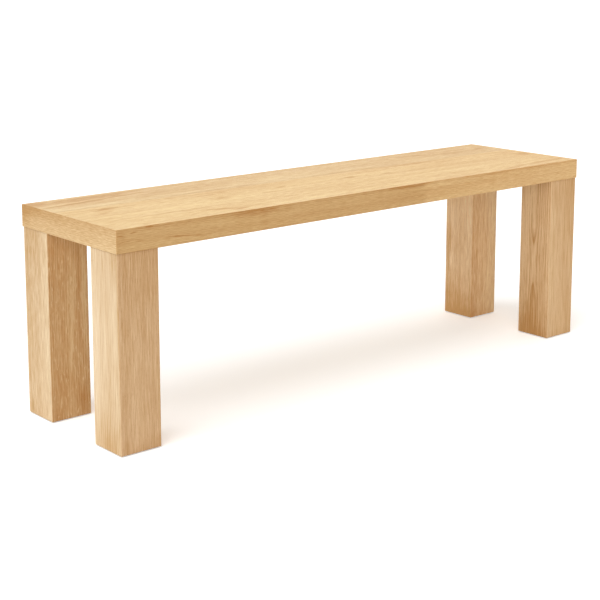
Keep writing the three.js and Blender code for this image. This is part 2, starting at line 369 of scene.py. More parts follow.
def shades(mean, contrast, hue):
    """The light and the dark end of a veneer's colours."""
    light = tuple(m * math.exp(contrast * h) for m, h in zip(mean, hue))
    dark = tuple(m * math.exp(-contrast * h) for m, h in zip(mean, hue))
    return color4(light), color4(dark)


# What the oak group takes, with the values that a sheet has unless it says otherwise
OAK_SOCKETS = {
    "Where": ("NodeSocketVector", (0, 0, 0)),
    "Sheet": ("NodeSocketVector", (0, 0, 0)),
    "Pith Across": ("NodeSocketFloat", 0.0),
    "Pith Depth": ("NodeSocketFloat", 0.06),
    "Least Depth": ("NodeSocketFloat", 0.0),
    "Taper": ("NodeSocketFloat", 0.0),
    "Bend": ("NodeSocketFloat", 0.0),
    "Ring Width": ("NodeSocketFloat", 0.003),
    "Figure": ("NodeSocketFloat", 0.3),
    "Streaks": ("NodeSocketFloat", 1.0),
    "Clouds": ("NodeSocketFloat", 0.6),
    "Ticks": ("NodeSocketFloat", 0.6),
    "Tick Rate": ("NodeSocketVector", (60, 420, 1)),
    "Flakes": ("NodeSocketFloat", 0.0),
    "Pores": ("NodeSocketFloat", 0.5),
    "Marks": ("NodeSocketFloat", 0.0),
    "Yellow": ("NodeSocketFloat", 0.3),
    "Light": ("NodeSocketColor", (0.8, 0.6, 0.4, 1)),
    "Dark": ("NodeSocketColor", (0.5, 0.35, 0.2, 1)),
}


def oak_group():
    """Oak veneer as a slice of a log. X runs along the grain and Y across it.

    The rings lie round a pith that runs along X, at a place across the sheet and at a depth under
    it. Taper and bend move the pith up and down along the sheet, which draws the rings as arches,
    and it never comes nearer than the least depth. With a negative ring width the dark edge of
    each ring faces outward.
    """
    tree = bpy.data.node_groups.new("oak_veneer", "ShaderNodeTree")
    for name, (kind, value) in OAK_SOCKETS.items():
        socket = tree.interface.new_socket(name, in_out="INPUT", socket_type=kind)
        socket.default_value = value
    outputs = {"Color": "NodeSocketColor", "Roughness": "NodeSocketFloat", "Height": "NodeSocketFloat"}
    for name, kind in outputs.items():
        tree.interface.new_socket(name, in_out="OUTPUT", socket_type=kind)
    n = Nodes(tree)
    given = n.add("NodeGroupInput").outputs
    split = n.add("ShaderNodeSeparateXYZ", {0: given["Where"]}).outputs
    along = split["X"]
    where = n.vector("ADD", given["Where"], given["Sheet"])

    # Where the growth rings run
    wander = n.centred_noise(where, OAK_RATES["wander"], 1, RING_WANDER)
    waver = n.centred_noise(where, OAK_RATES["waver"], 2, RING_WAVER)
    across = n.math("ADD", n.math("ADD", split["Y"], wander), waver)
    aside = n.math("SUBTRACT", across, given["Pith Across"])
    bend = n.math("MULTIPLY", n.math("MULTIPLY", along, along), given["Bend"])
    depth = n.math("ADD", n.math("MULTIPLY_ADD", along, given["Taper"], given["Pith Depth"]), bend)
    depth = n.math("MAXIMUM", depth, given["Least Depth"])
    squares = n.math("ADD", n.math("MULTIPLY", aside, aside), n.math("MULTIPLY", depth, depth))
    radius = n.math("SQRT", squares)
    years = n.math("DIVIDE", radius, given["Ring Width"])
    widths = n.centred_noise(n.combine(radius, 0, 0), OAK_RATES["year widths"], 1, YEAR_WIDTH_CHANGE)
    years = n.math("ADD", years, widths)
    early = n.ramp(n.math("FRACT", years), YEAR_TONES)
    strengths = n.noise(n.combine(years, 0, 0), OAK_RATES["year strengths"], 1)
    figure = n.math("SUBTRACT", early, MIDDLE_YEAR_TONE)
    figure = n.math("MULTIPLY", figure, n.rescale(strengths, *YEAR_STRENGTHS))

    # What lies along the grain
    following = n.vector("ADD", n.combine(along, radius, 0), given["Sheet"])
    lines = n.vector("ADD", n.combine(along, across, 0), given["Sheet"])
    streaks = n.centred_noise(following, OAK_RATES["streaks"], 3, 1.0)
    clouds = n.centred_noise(where, OAK_RATES["clouds"], 2, 1.0)
    ticks = n.centred_noise(lines, given["Tick Rate"], 2, 1.0)
    fibres = n.centred_noise(lines, OAK_RATES["fibres"], 2, 1.0)
    flakes = n.noise(lines, OAK_RATES["flakes"], 2, distortion=FLAKE_DISTORTION)
    flakes = n.rescale(flakes, *FLAKE_SPAN, smooth=True)
    dashes = n.rescale(n.noise(lines, OAK_RATES["pores"], 1), *PORE_SPAN, smooth=True)
    pores = n.math("MULTIPLY", dashes, n.math("MULTIPLY_ADD", early, PORES_EARLY, PORES_ALWAYS))

    # The tone, from 0 for the dark shade to 1 for the light one, and what it gives
    tone = n.math("MULTIPLY_ADD", n.math("MULTIPLY", figure, given["Figure"]), -1.0, MIDDLE_TONE)
    for part, amount in ((streaks, "Streaks"), (clouds, "Clouds"), (ticks, "Ticks"), (flakes, "Flakes")):
        tone = n.math("MULTIPLY_ADD", part, given[amount], tone)
    tone = n.math("MULTIPLY_ADD", fibres, FIBRE_TONE, tone)
    tone = n.math("ADD", tone, given["Marks"], clamp=True)
    color = n.mix(tone, given["Dark"], given["Light"])
    yellow = n.math("MULTIPLY", n.noise(where, OAK_RATES["yellow"], 2), given["Yellow"])
    color = n.mix(yellow, color, YELLOW_TINT, "MULTIPLY")
    hollow = n.math("MULTIPLY", pores, given["Pores"])
    color = n.mix(hollow, color, PORE_TINT, "MULTIPLY")
    roughness = n.math("MULTIPLY_ADD", fibres, FIBRE_ROUGHNESS, OAK_ROUGHNESS)
    roughness = n.math("MULTIPLY_ADD", pores, PORE_ROUGHNESS, roughness)
    height = n.math("MULTIPLY_ADD", fibres, FIBRE_HEIGHT, n.math("MULTIPLY", pores, PORE_HEIGHT))
    n.add("NodeGroupOutput", {"Color": color, "Roughness": roughness, "Height": height})
    return tree


OAK = oak_group()


def marks(n, where, places):
    """Soft marks, as tone to add. Each is (along, across, length, width, turn, strength).

    Places are in millimetres and turns in degrees. A mark darkens, or lightens where its strength
    is negative. The fibres feather the marks' edges and part them into strands.
    """
    drift = n.centred_noise(where, MARK_DRIFT_RATE, 2, MARK_DRIFT)
    sway = n.centred_noise(where, MARK_SWAY_RATE, 2, MARK_SWAY)
    bent = n.vector("ADD", where, n.combine(drift, sway, 0))
    total = 0.0
    for along, across, length, width, turn, strength in places:
        inputs = {
            "Vector": bent,
            "Location": (along * MM, across * MM, 0),
            "Rotation": (0, 0, math.radians(turn)),
            "Scale": (length / 2 * MM, width / 2 * MM, 1),
        }
        inside = n.add("ShaderNodeMapping", inputs, vector_type="TEXTURE").outputs[0]
        flat = n.vector("MULTIPLY", inside, (1, 1, 0))
        distance = n.add("ShaderNodeVectorMath", {0: flat}, operation="LENGTH").outputs["Value"]
        total = n.math("ADD", total, n.rescale(distance, MARK_CORE, 1.0, -strength, 0.0, smooth=True))
    strands = n.rescale(n.noise(where, STRAND_RATE, 3), *STRANDS)
    return n.math("MULTIPLY", total, strands)


def next_leaf(n, beyond, ends, mean, contrast, hue):
    """The light and the dark end of the colours, with another mean colour beyond a line."""
    return [n.mix(beyond, end, shade) for end, shade in zip(ends, shades(mean, contrast, hue))]


def oak(name, mean, contrast=PLAIN_CONTRAST, hue=HUE, slope=(0, 0), places=(), joints=(), fades=(),
        sheet=(0, 0, 0), pith_across=0.0, **sockets):
    """A veneer of its own for one board.

    slope is the change of tone to the metre, along and across. places are its marks; on the legs some
    of them are painted shade or painted light. A joint is (axis, place, share of the mean colour, step of
    pith), where another leaf of veneer begins. A fade is (axis, place, half its width, share of the mean
    colour), where one leaf changes colour; on two legs it is painted light that lifts the shade under the
    seat.
    sheet is its place in the log, and sockets are values for the oak group's other sockets.
    """
    material, n = new_material(name)
    where = n.add("ShaderNodeTexCoord").outputs["Object"]
    split = n.add("ShaderNodeSeparateXYZ", {0: where}).outputs
    tone = n.dot(where, (*slope, 0))
    if places:
        tone = n.math("ADD", tone, marks(n, where, places))
    ends = shades(mean, contrast, hue)
    for axis, place, share, pith_step in joints:
        beyond = n.math("GREATER_THAN", split[axis], place)
        mean = tuple(m * s for m, s in zip(mean, share))
        ends = next_leaf(n, beyond, ends, mean, contrast, hue)
        pith_across = n.math("MULTIPLY_ADD", beyond, pith_step, pith_across)
        step = n.vector("MULTIPLY", n.combine(beyond, beyond, beyond), LEAF_STEP)
        sheet = n.vector("ADD", sheet, step)
    for axis, place, reach, share in fades:
        feather = n.centred_noise(where, FADE_RATE, 2, FADE_FEATHER * reach)
        line = n.math("ADD", split[axis], feather)
        beyond = n.rescale(line, place - reach, place + reach, smooth=True)
        mean = tuple(m * s for m, s in zip(mean, share))
        ends = next_leaf(n, beyond, ends, mean, contrast, hue)
    inputs = {"Where": where, "Sheet": sheet, "Pith Across": pith_across, "Marks": tone}
    inputs |= {"Light": ends[0], "Dark": ends[1]}
    inputs |= {key.replace("_", " ").title(): value for key, value in sockets.items()}
    out = n.add("ShaderNodeGroup", inputs, node_tree=OAK).outputs
    finish_material(n, out["Color"], out["Roughness"], out["Height"], OAK_RELIEF,
                    IOR=OAK_IOR, Specular_IOR_Level=OAK_SPECULAR)
    return material


def chipboard():
    """Pressed chips: pale flakes of mixed tone with dark gaps."""
    dark, light = srgb(176, 140, 98), srgb(226, 200, 158)
    chips_per_metre = (260, 260, 520)
    gap_width, gap_tone = 0.09, 0.6
    material, n = new_material("chipboard")
    where = n.add("ShaderNodeTexCoord").outputs["Object"]
    cells = n.vector("MULTIPLY", where, chips_per_metre)
    chips = n.add("ShaderNodeTexVoronoi", {"Vector": cells, "Scale": 1.0, "Randomness": 1.0})
    edges = n.add("ShaderNodeTexVoronoi", {"Vector": cells, "Scale": 1.0}, feature="DISTANCE_TO_EDGE")
    chip_tone = n.add("ShaderNodeSeparateXYZ", {0: chips.outputs["Color"]}).outputs["X"]
    gap = n.rescale(edges.outputs["Distance"], 0.0, gap_width, gap_tone, 1.0)
    color = n.mix(chip_tone, dark, light)
    color = n.mix(1.0, color, n.combine(gap, gap, gap), "MULTIPLY")
    finish_material(n, color, roughness=0.85, height=gap, relief=0.1 * MM)
    return material


def fibreboard():
    """Fine pressed fibre, which the veneered boards show where they are cut."""
    dark, light = srgb(158, 124, 86), srgb(206, 172, 128)
    fibres_per_metre, clouds_per_metre = (900, 900, 900), (60, 60, 60)
    fibre_share, cloud_share = 0.7, 0.3
    least_rough, most_rough = 0.75, 0.9
    material, n = new_material("fibreboard")
    where = n.add("ShaderNodeTexCoord").outputs["Object"]
    fibres = n.noise(where, fibres_per_metre, detail=4, roughness=0.65)
    clouds = n.noise(where, clouds_per_metre)
    tone = n.math("MULTIPLY_ADD", clouds, cloud_share, n.math("MULTIPLY", fibres, fibre_share))
    roughness = n.rescale(fibres, 0, 1, least_rough, most_rough)
    finish_material(n, n.mix(tone, dark, light), roughness, fibres, relief=0.04 * MM)
    return material


def kraft_paper():
    """Brown paper, for the honeycomb cores."""
    dark, light = srgb(146, 112, 74), srgb(200, 166, 122)
    fibres_per_metre, clouds_per_metre = (500, 500, 2600), (40, 40, 40)
    fibre_share, cloud_share = 0.6, 0.5
    least_rough, most_rough = 0.8, 0.95
    material, n = new_material("kraft_paper")
    where = n.add("ShaderNodeTexCoord").outputs["Object"]
    fibres = n.noise(where, fibres_per_metre, detail=4, roughness=0.6)
    clouds = n.noise(where, clouds_per_metre, detail=3)
    tone = n.math("MULTIPLY_ADD", clouds, cloud_share, n.math("MULTIPLY", fibres, fibre_share))
    roughness = n.rescale(fibres, 0, 1, least_rough, most_rough)
    finish_material(n, n.mix(tone, dark, light), roughness, fibres, relief=0.05 * MM)
    return material


def zinc_steel():
    """Zinc-plated steel with turning marks, for the bolts and inserts."""
    dark, light = srgb(170, 172, 176), srgb(206, 208, 211)
    turns_per_metre, clouds_per_metre = (300, 300, 6000), (150, 150, 150)
    least_rough, most_rough = 0.24, 0.42
    material, n = new_material("zinc_steel")
    where = n.add("ShaderNodeTexCoord").outputs["Object"]
    turning = n.noise(where, turns_per_metre)
    clouds = n.noise(where, clouds_per_metre)
    roughness = n.rescale(turning, *MOST_NOISE, least_rough, most_rough)
    color = n.mix(clouds, dark, light)
    finish_material(n, color, roughness, turning, relief=0.01 * MM, Metallic=1.0)
    return material


def glide_plastic():
    """Brown moulded plastic with a fine grain."""
    dark, light = srgb(126, 106, 82), srgb(146, 124, 98)
    grains_per_metre, clouds_per_metre = (3000, 3000, 3000), (80, 80, 80)
    least_rough, most_rough = 0.5, 0.65
    material, n = new_material("glide_plastic")
    where = n.add("ShaderNodeTexCoord").outputs["Object"]
    grain = n.noise(where, grains_per_metre)
    clouds = n.noise(where, clouds_per_metre)
    roughness = n.rescale(grain, *MOST_NOISE, least_rough, most_rough)
    finish_material(n, n.mix(clouds, dark, light), roughness, grain, relief=0.02 * MM)
    return material


CHIPBOARD = chipboard()
FIBREBOARD = fibreboard()
PAPER = kraft_paper()
STEEL = zinc_steel()
PLASTIC = glide_plastic()


# Sheets of veneer. Slopes, joints, marks and piths are in each board's own frame, with X along its
# grain and Y across it. Y points to the back on the top and on the legs' left faces, to the left on
# their front faces and up on the edge bands. A leg's X points up. What a place says, marks() tells.

SEAT_TOP_SHEET = dict(
    mean=(0.754, 0.491, 0.220), contrast=0.375, slope=(-0.12, -0.4),
    joints=(("Y", -0.0975, (1.0, 1.0, 1.0), 0.05), ("Y", 0.0475, (0.965, 0.98, 1.05), -0.12)),
    sheet=(3.1, 1.7, 0.4), pith_across=-0.03, pith_depth=0.035, taper=0.02, ring_width=0.006,
    figure=0.3, streaks=0.6, clouds=0.6, ticks=1.6, tick_rate=(45, 520, 1), pores=0.35, yellow=0.3,
    places=(
        # Dark strands at the left end, near the back
        (-560, 119, 420, 16, 7.5, 0.75),
        (-640, 112, 150, 12, 6, 0.4),
        (-592, 157, 150, 13, 3, 0.65),
        (-540, 150, 380, 60, 4, 0.42),
        (-695, 160, 120, 110, 0, 0.5),
        # Faint strands and soft patches
        (-130, 146, 260, 16, 0, 0.25),
        (-150, 82, 100, 44, 0, 0.12),
        (-665, 35, 90, 16, 0, 0.2),
        (-560, 2, 120, 14, 0, 0.2),
        (-258, 18, 110, 30, 0, -0.2),
        (-380, -56, 220, 14, 0, 0.2),
        (620, 76, 110, 10, 0, 0.25),
        (-600, 17, 80, 40, 8, 0.35),
        (-618, -14, 110, 30, 25, 0.25),
        # Strands beside the middle leaf's back joint
        (-262, 57, 330, 9, 1, 0.55),
        (295, 38, 430, 12, 0, 0.5),
        (250, 62, 560, 16, 0, -0.22),
        # Small figures of the middle leaf
        (-148, -11, 60, 20, 10, 0.5),
        (62, -13, 76, 26, 5, 0.6),
        (173, -27, 40, 18, 0, 0.55),
        (-333, -36, 84, 30, 10, 0.4),
        (-200, -44, 80, 26, 0, 0.25),
        (0, -18, 420, 40, 2, 0.12),
        # A strand on the front joint and the figures of the front leaf
        (-430, -98, 560, 8, 1, 0.35),
        (-408, -138, 130, 22, -20, 0.55),
        (-370, -156, 90, 20, 10, 0.45),
        (-300, -158, 60, 12, 0, 0.3),
        # Strands and a patch near the right end
        (425, 128, 130, 24, -16, 0.3),
        (515, 104, 140, 22, -14, 0.16),
        (642, 112, 70, 22, 10, 0.3),
        (670, -30, 60, 60, 60, 0.45),
        (640, -8, 150, 12, 0, 0.25),
        (600, -150, 280, 28, 5, 0.35),
        (470, -166, 130, 20, 8, 0.3),
        # Broad soft changes of tone
        (-450, -60, 600, 60, 1, -0.2),
        (360, -95, 420, 60, 0, -0.1),
        (-600, 110, 240, 74, 0, 0.2),
        (200, 140, 260, 80, 0, -0.12),
        (640, 140, 180, 80, 0, -0.08),
    ),
)

BAND_SHEETS = {
    "front": dict(
        mean=(0.642, 0.387, 0.162), contrast=0.43,
        fades=(("X", 0.146, 0.012, (1.1, 1.13, 1.185)), ("X", 0.33, 0.22, (1.075, 1.1, 1.13))),
        sheet=(0.3, 5.2, 1.0), pith_across=0.11, ring_width=0.0032, figure=0.25, streaks=0.6,
        clouds=0.35, ticks=1.1, tick_rate=(45, 620, 1), pores=0.5, yellow=0.2,
        places=(
            # Long bands of tone
            (0, 26, 3000, 24, 0, 0.2),
            (-300, 2, 1000, 26, 0, -0.1),
            (-300, -24, 1000, 16, 0, 0.2),
            (450, 24, 800, 24, 0, 0.14),
            (450, -8, 800, 30, 0, -0.08),
            # Short dark dashes at the left end
            (-688, 12, 22, 3, 0, 0.8),
            (-660, 14, 26, 2.5, 3, 0.7),
            (-683, -3, 30, 2.5, 2, 0.8),
            (-650, -1, 24, 2.5, 0, 0.6),
            (-625, 21, 24, 3, 0, 0.7),
            # Darker strands and patches
            (-345, 16, 220, 36, 0, 0.3),
            (-552, -7, 80, 4, -6, 0.8),
            (-500, -12, 70, 3, -4, 0.5),
            (-615, 24, 60, 8, 0, 0.3),
            (-695, 0, 60, 60, 0, 0.12),
            (90, 22, 220, 20, 0, 0.45),
            (200, 26, 220, 14, 0, 0.3),
        ),
    ),
    "left": dict(
        mean=(0.657, 0.433, 0.206), hue=SOFT_HUE, slope=(0.6, -8.0),
        sheet=(1.9, 2.2, 3.1), pith_across=0.09, ring_width=0.0035, figure=0.2, streaks=0.3, clouds=0.6,
        ticks=1.4, tick_rate=(60, 600, 1), pores=0.4, yellow=0.2,
        places=(
            (-170, 20, 200, 50, 0, 0.42),
            (-186, 0, 110, 90, 0, 0.3),
            (-60, 14, 220, 40, 0, 0.12),
        ),
    ),
    "back": dict(
        mean=(0.72, 0.45, 0.2), contrast=0.36, sheet=(4.4, 0.2, 2.0), pith_across=-0.13,
        ring_width=0.0032, figure=0.22, streaks=0.4, clouds=0.45, ticks=1.2, tick_rate=(45, 620, 1),
        pores=0.5, yellow=0.1,
        places=((-420, 12, 300, 30, 0, 0.3), (180, -10, 200, 16, 1, 0.25), (560, 18, 240, 20, 0, 0.3)),
    ),
    "right": dict(
        mean=(0.76, 0.48, 0.22), contrast=0.36, sheet=(2.8, 4.1, 0.7), pith_across=0.13,
        ring_width=0.0034, figure=0.2, streaks=0.3, clouds=0.5, ticks=1.1, tick_rate=(60, 600, 1),
        pores=0.4, yellow=0.1,
        places=((110, 14, 180, 30, 0, 0.3), (-60, -12, 140, 16, 1, 0.2)),
    ),
}

# On the legs, marks near -215 are painted shade at the foot, near the floor, and marks near 205 painted
# shade at the top, under the seat
LEG_SHEETS = {
    "front_left_leg_left": dict(
        mean=(0.759, 0.560, 0.336), contrast=0.42, hue=SOFT_HUE, sheet=(0.4, 0.9, 0.1), pith_across=0.16,
        ring_width=0.006, figure=0.12, streaks=0.35, clouds=0.3, ticks=1.2, tick_rate=(18, 500, 1),
        pores=0.3, yellow=0.2,
        places=(
            (0, 38, 420, 60, 0, -0.22),
            (-20, -8, 420, 26, 1, 0.1),
            (-80, -14, 260, 12, -2, 0.12),
            (205, -36, 220, 56, 0, 0.32),
            (-218, -6, 260, 180, 0, 0.36),
            (-218, -12, 160, 60, 0, 0.12),
            (60, -46, 420, 8, 0, 0.35),
            (10, 0, 220, 40, 0, -0.2),
        ),
    ),
    "front_left_leg_front": dict(
        mean=(0.692, 0.453, 0.244), hue=SOFT_HUE, sheet=(1.4, 2.9, 0.6), pith_across=0.2,
        ring_width=0.0034, figure=0.35, streaks=0.25, clouds=0.35, ticks=1.3, tick_rate=(20, 600, 1),
        pores=0.7, yellow=0.2,
        places=(
            (205, 0, 440, 220, 0, 0.28),
            (-212, 0, 50, 170, 0, 0.2),
            (-90, 8, 320, 70, 0, -0.15),
            (160, 2, 110, 44, 0, -0.16),
            (-190, 34, 60, 32, 0, 0.2),
            (-190, -36, 60, 32, 0, 0.2),
            (-165, -10, 90, 28, 0, -0.16),
            (60, 34, 90, 28, 0, 0.12),
        ),
    ),
    "back_left_leg_left": dict(
        mean=(0.701, 0.503, 0.293), hue=SOFT_HUE, slope=(0, -4.0), sheet=(2.2, 1.3, 4.0),
        pith_across=0.15, ring_width=0.004, figure=0.2, streaks=0.8, clouds=0.4, ticks=1.8,
        tick_rate=(30, 500, 1), flakes=0.1, pores=0.4, yellow=0.3,
        places=(
            (205, 5, 300, 100, 0, 0.25),
            (-212, 10, 120, 120, 0, 0.2),
            (20, 30, 300, 14, 2, 0.2),
            (-120, 40, 160, 14, 0, 0.2),
            (-60, -34, 190, 30, 0, -0.25),
            (80, -12, 230, 26, 0, 0.2),
            (160, -34, 80, 30, 0, 0.2),
            (-185, 34, 60, 34, 0, 0.25),
            (155, 10, 70, 26, 0, -0.15),
        ),
    ),
    "back_left_leg_front": dict(
        # The fade near the top is painted light, lighter and warmer, that lifts the shade under the seat
        mean=(0.608, 0.372, 0.168), contrast=0.4, hue=(0.48, 0.98, 1.7),
        fades=(("X", 0.14, 0.06, (1.07, 1.05, 1.03)),), sheet=(3.3, 0.5, 1.2), pith_across=-0.14,
        ring_width=0.0055, figure=0.28, streaks=0.6, clouds=0.8, ticks=1.1, tick_rate=(34, 420, 1),
        flakes=0.7, pores=0.6, yellow=0.2,
        places=(
            (-10, -6, 460, 14, -3.5, -0.3),
            (-20, -6, 420, 4, -3.5, -0.35),
            (90, -16, 130, 4, -2, -0.45),
            (30, 4, 120, 4, -5, -0.3),
            (-60, 12, 150, 4, -4, -0.25),
            # The pale marks by the right edge, at 110 and 20 along, are painted light that lifts the
            # seat's shadow
            (110, -37, 260, 22, 0, -0.5),
            (190, 11, 60, 24, 0, -0.25),
            (-212, 0, 200, 170, 0, 0.15),
            (-150, -44, 220, 40, 0, 0.25),
            (20, -38, 290, 24, 0, -0.28),
            (-128, 2, 90, 80, 0, 0.2),
            (-175, -28, 90, 50, 0, 0.22),
        ),
    ),
    "front_right_leg_left": dict(
        mean=(0.652, 0.414, 0.203), contrast=0.44, hue=(0.58, 0.94, 1.55), sheet=(5.2, 1.1, 0.4),
        pith_across=0.0014, pith_depth=0.0135, least_depth=0.0068, taper=-0.0229, bend=-0.763,
        ring_width=-0.006, figure=0.62, streaks=0.5, clouds=0.25, ticks=1.1, tick_rate=(24, 480, 1),
        pores=0.6, yellow=0.1,
        places=(
            # The V above the middle, and the paler wood under it
            (76, 3, 66, 8, 0, -0.32),
            (44, 3, 40, 6, 0, 0.2),
            (140, -7, 160, 4, 0, 0.3),
            (130, 13, 160, 3.5, 0, 0.35),
            (-15, 3, 100, 14, 0, -0.15),
            # The flame below the middle
            (-108, 3, 110, 18, 0, 0.32),
            (-120, -12, 120, 4, 2, 0.3),
            (-130, 17, 130, 4, -2, 0.3),
            (-125, 0, 260, 84, 0, 0.24),
            (-180, 14, 150, 70, 0, 0.18),
            (-172, -4, 110, 5, 0, -0.38),
            (-178, 6, 110, 4, 0, -0.3),
            (-150, 22, 150, 5, 0, 0.3),
            (-165, 34, 120, 5, 0, 0.25),
            # Paler strands by the back edge and at the top
            (40, 41, 400, 13, 0, -0.28),
            (188, 9, 100, 16, 0, -0.45),
            (150, -11, 90, 6, 0, -0.3),
            # The darker foot, painted shade near the floor
            (-218, 4, 240, 200, 0, 0.55),
            (-214, -10, 80, 120, 0, 0.25),
            # Soft changes of tone. The pale marks near 150 and 160 along are painted light that lifts the
            # seat's shadow at the top
            (60, -43, 320, 10, 0, -0.15),
            (150, 26, 260, 60, 0, -0.4),
            (160, 12, 130, 80, 0, -0.2),
            (20, 32, 250, 32, 0, -0.28),
            (0, -12, 200, 30, 0, 0.15),
            (0, -36, 420, 30, 0, 0.12),
        ),
    ),
    "front_right_leg_front": dict(
        mean=(0.709, 0.465, 0.248), hue=SOFT_HUE, slope=(0, 3.0), sheet=(0.9, 3.4, 2.6), pith_across=0.2,
        ring_width=0.005, figure=0.2, streaks=0.5, clouds=0.2, ticks=1.2, tick_rate=(18, 560, 1),
        pores=0.4, yellow=0.4,
        places=(
            (205, -10, 200, 170, 0, 0.2),
            (-212, -10, 70, 170, 0, 0.2),
            (0, -10, 440, 24, 0, 0.15),
            (100, -10, 170, 22, 0, 0.14),
            (-80, 12, 190, 26, 0, -0.15),
            (-100, 33, 130, 28, 0, -0.15),
            (160, 33, 120, 28, 0, 0.15),
            (-20, -34, 280, 24, 0, -0.14),
        ),
    ),
    "back_right_leg_left": dict(
        # The mean is lighter than the other legs', and the fade lightens all above the middle: painted
        # light that lifts the shade under the seat
        mean=(0.853, 0.589, 0.331), contrast=0.43, hue=SOFT_HUE,
        fades=(("X", 0.05, 0.12, (1.08, 1.07, 1.05)),), slope=(0, -0.8), sheet=(2.7, 4.2, 3.9),
        pith_across=0.07, pith_depth=0.03, taper=0.03, ring_width=0.0045, figure=0.4, streaks=0.7,
        clouds=0.3, ticks=1.2, tick_rate=(30, 520, 1), pores=0.5, yellow=0.1,
        places=(
            (-218, 0, 340, 400, 0, 0.58),
            (-64, 37, 90, 12, 0, 0.3),
            (-214, 0, 90, 300, 0, 0.6),
            (-56, 28, 70, 12, -8, -0.4),
            (20, 22, 220, 20, 0, -0.12),
            (110, 0, 220, 220, 0, -0.14),
            (0, 36, 150, 38, 0, 0.25),
            (-25, 10, 100, 30, 0, 0.15),
            (60, -36, 160, 26, 0, -0.18),
            (-128, -20, 60, 60, 0, -0.12),
        ),
    ),
    "back_right_leg_front": dict(
        # The mean is lighter than the other legs', painted light that lifts the shade under the seat
        mean=(0.780, 0.511, 0.267), contrast=0.45, slope=(0, -3.5), sheet=(4.6, 2.0, 1.5),
        pith_across=-0.2, ring_width=0.004, figure=0.3, streaks=0.6, clouds=0.4, ticks=1.3,
        tick_rate=(36, 540, 1), pores=0.5, yellow=0.15,
        places=(
            (-212, 10, 90, 210, 0, 0.22),
            (-205, 44, 160, 40, 0, 0.25),
            (120, 38, 320, 28, 0, -0.22),
            (165, 0, 120, 150, 0, -0.14),
            (-20, -12, 260, 32, 0, 0.2),
            (70, -38, 260, 24, 0, -0.12),
        ),
    ),
}

UNDERSIDE_SHEET = dict(
    mean=(0.6, 0.42, 0.23), sheet=(7.3, 2.6, 0.2), pith_across=0.1, pith_depth=0.04, taper=0.01,
    ring_width=0.006, figure=0.2, streaks=0.5, clouds=0.5, ticks=0.5, pores=0.5, yellow=0.2,
)

UNSEEN_LEG_MEANS = ((0.8, 0.51, 0.26), (0.74, 0.46, 0.225), (0.85, 0.56, 0.3))
# Painted shade at the foot of the other leg boards, as on the shown ones
UNSEEN_FOOT_PAINTED_SHADE = (-205, 0, 90, 170, 0, 0.15)


# Seat

def shown_face(node, out):
    """(middle of the node's face on that side, the node's lowest and highest corners)."""
    low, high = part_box(node)
    half = (high - low) / 2
    return (low + high) / 2 + Vector(h * o for h, o in zip(half, out)), low, high


def seat_bands():
    """The four edge bands. The front and back ones run past the ends of the others."""
    for side, out in SIDES.items():
        node = f"seat_{side}_edge_band"
        place, low, high = shown_face(node, out)
        along = Z.cross(out)
        size = high - low
        length, thickness = abs(size.dot(along)), abs(size.dot(out))
        whole = side in ("front", "back")
        mesh = board_mesh(node + "_veneer", length, size.z, thickness, SEAT_ARRIS, ends_eased=whole)
        finish = oak(node, **BAND_SHEETS[side])
        show(f"{side}_edge_band", mesh, [finish, finish], lying(place, along, out), "edge_band_oak", node)


def seat_panel():
    """The seat's top, between the edge bands."""
    node = "seat_top_panel"
    place, low, high = shown_face(node, Z)
    length = 2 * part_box("seat_right_edge_band")[0].x
    width = 2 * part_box("seat_back_edge_band")[0].y
    thickness = high.z - low.z
    mesh = board_mesh(node + "_veneer", length, width, thickness, SEAT_TOP_ARRIS, ends_eased=False)
    finish = oak(node, **SEAT_TOP_SHEET)
    show("seat_top", mesh, [finish, FIBREBOARD], lying(place, X, Z), "seat_top_oak", node)


# Legs

def unseen_leg_sheet(chance):
    """A sheet for a board that the photo doesn't show."""
    return dict(
        mean=chance.choice(UNSEEN_LEG_MEANS),
        sheet=tuple(chance.uniform(0, 9) for _ in range(3)),
        pith_across=chance.choice((-1, 1)) * chance.uniform(0.0, 0.2),
        pith_depth=chance.uniform(0.02, 0.05),
        taper=chance.uniform(-0.04, 0.04), ring_width=chance.uniform(0.003, 0.006),
        figure=chance.uniform(0.2, 0.45), streaks=chance.uniform(0.4, 0.8), clouds=0.4,
        ticks=chance.uniform(1.0, 1.4), tick_rate=(28, 520, 1), pores=0.5, yellow=0.1,
        places=(UNSEEN_FOOT_PAINTED_SHADE,),
    )


def leg_boards():
    """The four mitred boards of each leg."""
    chance = random.Random(CHANCE_SEED)
    for corner in CORNERS:
        nodes = {side: f"{corner}_leg_{side}_board" for side in SIDES}
        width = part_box(nodes["right"])[1].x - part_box(nodes["left"])[0].x
        for side, out in SIDES.items():
            place, low, high = shown_face(nodes[side], out)
            thickness = abs((high - low).dot(out))
            name = f"{corner}_leg_{side}"
            mesh = board_mesh(name + "_veneer", high.z - low.z, width, thickness, LEG_ARRIS, mitred=True)
            finish = oak(name, **(LEG_SHEETS.get(name) or unseen_leg_sheet(chance)))
            show(name, mesh, [finish, FIBREBOARD], lying(place, Z, out), "leg_oak", nodes[side])


